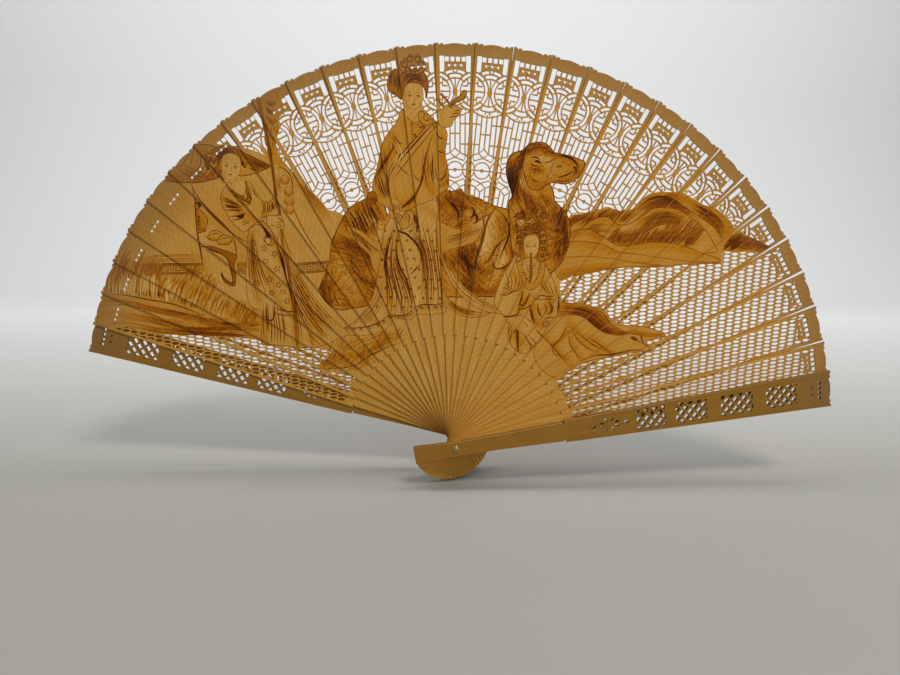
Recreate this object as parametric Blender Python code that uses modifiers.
"""Carved sandalwood folding fan of the all-stick kind: two guards, a stack of thin sticks, one rivet.

Metres, +Z up. The fan stands open and faces -Y. The rivet's axis is the Y axis, and the origin is on it,
halfway through the stack. Stick 1 lies just behind the front guard, which is the lowest one on the right.
"""

import math

import bpy

MM = 0.001

# The stack
STICK_COUNT = 28
STICK_THICKNESS = 0.8 * MM
GUARD_THICKNESS = 2.0 * MM
STICK_GAP = 0.2 * MM  # free play between neighbours

# How far the fan is opened, in degrees from +X, counter-clockwise as seen from the front
FIRST_ANGLE = 8.4
ANGLE_STEP = 5.6
STEP_LOSS = 0.00667  # each step is a little shorter than the one before, towards the rear guard
GUARD_TUCK = 1.0  # the guards sit this much inside their even place

# Outline of a stick, by distance from the rivet. Widths are half widths.
TIP_RADIUS = 212.0 * MM
NICK_RADIUS = 60.6 * MM
WAIST_RADIUS = 25.0 * MM
TAIL_LENGTH = 23.2 * MM
STICK_TIP_HALF = 9.6 * MM
GUARD_TIP_HALF = 10.4 * MM
SHOULDER_HALF = 6.4 * MM  # just outside the nick
NECK_HALF = 5.6 * MM  # just inside the nick
WAIST_HALF = 4.4 * MM
PIVOT_HALF = 4.1 * MM
TAIL_HALF = 5.0 * MM
TAIL_CHAMFER = 0.35 * MM
NICK_HALF_HEIGHT = 0.55 * MM
NICK_DEPTH = 0.9 * MM  # measured in from the neck

# The scalloped end: a tooth at each corner, a notch, a bump, a notch and a wide low arch
TOOTH_WIDTH = 1.7 * MM
BUMP_WIDTH = 1.9 * MM
NOTCH_WIDTH = 0.6 * MM
NOTCH_DEPTH = 0.7 * MM
ARCH_RISE = 0.7 * MM
CORNER_RISE = 0.25 * MM
ARCH_POINTS = 7

# The rivet and its washers
RIVET_RADIUS = 0.9 * MM
RIVET_CLEARANCE = 0.08 * MM
RIVET_HEAD_RADIUS = 1.6 * MM
RIVET_HEAD_HEIGHT = 0.6 * MM
WASHER_RADIUS = 2.3 * MM
WASHER_THICKNESS = 0.3 * MM
SEAT_GAP = 0.05 * MM
ROUND_SEGMENTS = 24

# The thread: three holes in each stick, two pins in each guard
THREAD_INSET = 10.4 * MM  # from the tip
THREAD_HOLE_RADIUS = 0.7 * MM
THREAD_HOLE_PITCH = 3.1 * MM
THREAD_HOLES = 3
HOLE_SEGMENTS = 12
PIN_RADIUS = 0.45 * MM
PIN_CLEARANCE = 0.08 * MM
PIN_PITCH = 3.6 * MM
PIN_PROUD = 0.12 * MM
PIN_SEGMENTS = 12

# The row of square holes near each guard's tip
GUARD_ROW_INSET = 6.2 * MM  # from the tip
GUARD_ROW_HOLE = 1.7 * MM
GUARD_ROW_PITCH = 2.9 * MM
GUARD_ROW_COUNT = 4

STICK_WOOD = ("sandalwood_stick", (0.50, 0.30, 0.13), 0.55, 0.0)
GUARD_WOOD = ("sandalwood_guard", (0.40, 0.23, 0.09), 0.5, 0.0)
RIVET_METAL = ("rivet_brass", (0.70, 0.62, 0.45), 0.35, 1.0)
PIN_METAL = ("pin_steel", (0.10, 0.08, 0.07), 0.5, 1.0)

PITCH = STICK_THICKNESS + STICK_GAP
STACK_DEPTH = STICK_COUNT * PITCH + STICK_GAP
GUARD_OFFSET = (STACK_DEPTH + GUARD_THICKNESS) / 2
OUTER_FACE = GUARD_OFFSET + GUARD_THICKNESS / 2
THREAD_RADIUS = TIP_RADIUS - THREAD_INSET
GUARD_ROW_RADIUS = TIP_RADIUS - GUARD_ROW_INSET


def open_angle(place):
    """The angle, in degrees, of the leaf at this place in the stack; 0 is the front guard."""
    tuck = {0: GUARD_TUCK, STICK_COUNT + 1: -GUARD_TUCK}.get(place, 0.0)
    return FIRST_ANGLE + ANGLE_STEP * place - STEP_LOSS * place**2 + tuck


def clear_scene():
    for old in list(bpy.data.objects):
        bpy.data.objects.remove(old, do_unlink=True)


def material(name, colour, roughness, metallic):
    made = bpy.data.materials.get(name)
    if made:
        return made
    made = bpy.data.materials.new(name)
    made.use_nodes = True
    shader = made.node_tree.nodes["Principled BSDF"]
    shader.inputs["Base Color"].default_value = (*colour, 1.0)
    shader.inputs["Roughness"].default_value = roughness
    shader.inputs["Metallic"].default_value = metallic
    made.diffuse_color = (*colour, 1.0)
    return made


def circle(centre, radius, segments):
    """Corners of a round hole or disc, with a corner half a step off each axis."""
    x, y = centre
    turns = [2 * math.pi * (i + 0.5) / segments for i in range(segments)]
    return [(x + radius * math.cos(t), y + radius * math.sin(t)) for t in turns]


def rectangle(centre, length, width):
    x, y = centre
    return [(x + sx * length / 2, y + sy * width / 2) for sx, sy in ((-1, -1), (1, -1), (1, 1), (-1, 1))]


def half_outline(tip_half):
    """One side of a leaf from the middle of its tail to the middle of its tip: (along, across) points."""
    side = [
        (-TAIL_LENGTH, 0.0),
        (-TAIL_LENGTH, TAIL_HALF - TAIL_CHAMFER),
        (-TAIL_LENGTH + TAIL_CHAMFER, TAIL_HALF),
        (0.0, PIVOT_HALF),
        (WAIST_RADIUS, WAIST_HALF),
        (NICK_RADIUS - NICK_HALF_HEIGHT, NECK_HALF),
        (NICK_RADIUS - NICK_HALF_HEIGHT / 2, NECK_HALF - NICK_DEPTH),
        (NICK_RADIUS + NICK_HALF_HEIGHT / 2, NECK_HALF - NICK_DEPTH),
        (NICK_RADIUS + NICK_HALF_HEIGHT, SHOULDER_HALF),
    ]
    across = tip_half
    side += [(TIP_RADIUS + CORNER_RISE, across)]
    across -= TOOTH_WIDTH
    side += [(TIP_RADIUS, across), (TIP_RADIUS - NOTCH_DEPTH, across - 0.2 * NOTCH_WIDTH)]
    across -= NOTCH_WIDTH
    side += [(TIP_RADIUS - NOTCH_DEPTH, across), (TIP_RADIUS - NOTCH_DEPTH / 3, across)]
    across -= BUMP_WIDTH
    side += [(TIP_RADIUS - NOTCH_DEPTH / 3, across), (TIP_RADIUS - 1.4 * NOTCH_DEPTH, across)]
    across -= NOTCH_WIDTH
    for i in range(ARCH_POINTS):
        share = 1 - i / (ARCH_POINTS - 1)
        side.append((TIP_RADIUS - NOTCH_DEPTH + ARCH_RISE * (1 - share**2), across * share))
    return side


def leaf_outline(tip_half):
    side = half_outline(tip_half)
    return [(along, -across) for along, across in side] + side[-2:0:-1]


def flat_piece(name, outlines, thickness, finish, collection):
    """A flat piece cut from sheet: the first outline is its edge and the others are holes."""
    curve = bpy.data.curves.new(name, "CURVE")
    curve.dimensions = "2D"
    curve.fill_mode = "BOTH"
    curve.extrude = thickness / 2
    for points in outlines:
        spline = curve.splines.new("POLY")
        spline.points.add(len(points) - 1)
        for point, (x, y) in zip(spline.points, points):
            point.co = (x, y, 0.0, 1.0)
        spline.use_cyclic_u = True
    piece = bpy.data.objects.new(name, curve)
    curve.materials.append(material(*finish))
    collection.objects.link(piece)
    return piece


def stand_up(piece, depth, angle):
    """Turns a piece drawn in XY to face -Y, with its length at this angle, this far back in the stack."""
    piece.location = (0.0, depth, 0.0)
    piece.rotation_euler = (math.pi / 2, -math.radians(angle), 0.0)


def make_stick(place, collection):
    outlines = [leaf_outline(STICK_TIP_HALF), circle((0, 0), RIVET_RADIUS + RIVET_CLEARANCE, ROUND_SEGMENTS)]
    for i in range(THREAD_HOLES):
        across = (i - (THREAD_HOLES - 1) / 2) * THREAD_HOLE_PITCH
        outlines.append(circle((THREAD_RADIUS, across), THREAD_HOLE_RADIUS, HOLE_SEGMENTS))
    stick = flat_piece(f"stick_{place:02d}", outlines, STICK_THICKNESS, STICK_WOOD, collection)
    stand_up(stick, (place - (STICK_COUNT + 1) / 2) * PITCH, open_angle(place))
    return stick


def pin_places():
    return [(THREAD_RADIUS, side * PIN_PITCH / 2) for side in (-1, 1)]


def make_guard(name, place, depth, collection):
    outlines = [leaf_outline(GUARD_TIP_HALF), circle((0, 0), RIVET_RADIUS + RIVET_CLEARANCE, ROUND_SEGMENTS)]
    for centre in pin_places():
        outlines.append(circle(centre, PIN_RADIUS + PIN_CLEARANCE, PIN_SEGMENTS))
    for i in range(GUARD_ROW_COUNT):
        across = (i - (GUARD_ROW_COUNT - 1) / 2) * GUARD_ROW_PITCH
        outlines.append(rectangle((GUARD_ROW_RADIUS, across), GUARD_ROW_HOLE, GUARD_ROW_HOLE))
    guard = flat_piece(name, outlines, GUARD_THICKNESS, GUARD_WOOD, collection)
    stand_up(guard, depth, open_angle(place))
    return guard


def make_thread_pins(side, guard, collection):
    """The two short pins that hold the thread's ends in a guard, children of that guard."""
    for number, centre in enumerate(pin_places(), 1):
        length = GUARD_THICKNESS + PIN_PROUD
        pin = flat_piece(
            f"{side}_thread_pin_{number}", [circle(centre, PIN_RADIUS, PIN_SEGMENTS)], length, PIN_METAL, collection
        )
        pin.parent = guard
        pin.location.z = (1 if side == "front" else -1) * PIN_PROUD / 2


def make_rivet(collection):
    """A turned pin with a head at each end, its axis along Y."""
    shank_half = OUTER_FACE + WASHER_THICKNESS + 2 * SEAT_GAP
    end = shank_half + RIVET_HEAD_HEIGHT
    rim = shank_half + RIVET_HEAD_HEIGHT / 3
    profile = [
        (0.0, end),
        (0.6 * RIVET_HEAD_RADIUS, end - 0.15 * RIVET_HEAD_HEIGHT),
        (RIVET_HEAD_RADIUS, rim),
        (RIVET_HEAD_RADIUS, shank_half),
        (RIVET_RADIUS, shank_half),
    ]
    profile += [(x, -z) for x, z in reversed(profile)]
    mesh = bpy.data.meshes.new("pivot_rivet")
    mesh.from_pydata([(x, 0.0, z) for x, z in profile], [(i, i + 1) for i in range(len(profile) - 1)], [])
    rivet = bpy.data.objects.new("pivot_rivet", mesh)
    collection.objects.link(rivet)
    mesh.materials.append(material(*RIVET_METAL))
    turn = rivet.modifiers.new("Turn", "SCREW")
    turn.axis = "Z"
    turn.steps = turn.render_steps = ROUND_SEGMENTS
    turn.use_merge_vertices = True
    turn.merge_threshold = 0.00001
    rivet.rotation_euler = (math.pi / 2, 0.0, 0.0)
    return rivet


def make_washer(name, depth, collection):
    outlines = [
        circle((0, 0), WASHER_RADIUS, ROUND_SEGMENTS),
        circle((0, 0), RIVET_RADIUS + RIVET_CLEARANCE, ROUND_SEGMENTS),
    ]
    washer = flat_piece(name, outlines, WASHER_THICKNESS, RIVET_METAL, collection)
    stand_up(washer, depth, 0.0)


clear_scene()
fan = bpy.data.collections.new("sandalwood_fan")
bpy.context.scene.collection.children.link(fan)

front_guard = make_guard("front_guard", 0, -GUARD_OFFSET, fan)
rear_guard = make_guard("rear_guard", STICK_COUNT + 1, GUARD_OFFSET, fan)
for stick_place in range(1, STICK_COUNT + 1):
    make_stick(stick_place, fan)
make_thread_pins("front", front_guard, fan)
make_thread_pins("rear", rear_guard, fan)
make_rivet(fan)
washer_depth = OUTER_FACE + SEAT_GAP + WASHER_THICKNESS / 2
make_washer("front_washer", -washer_depth, fan)
make_washer("rear_washer", washer_depth, fan)
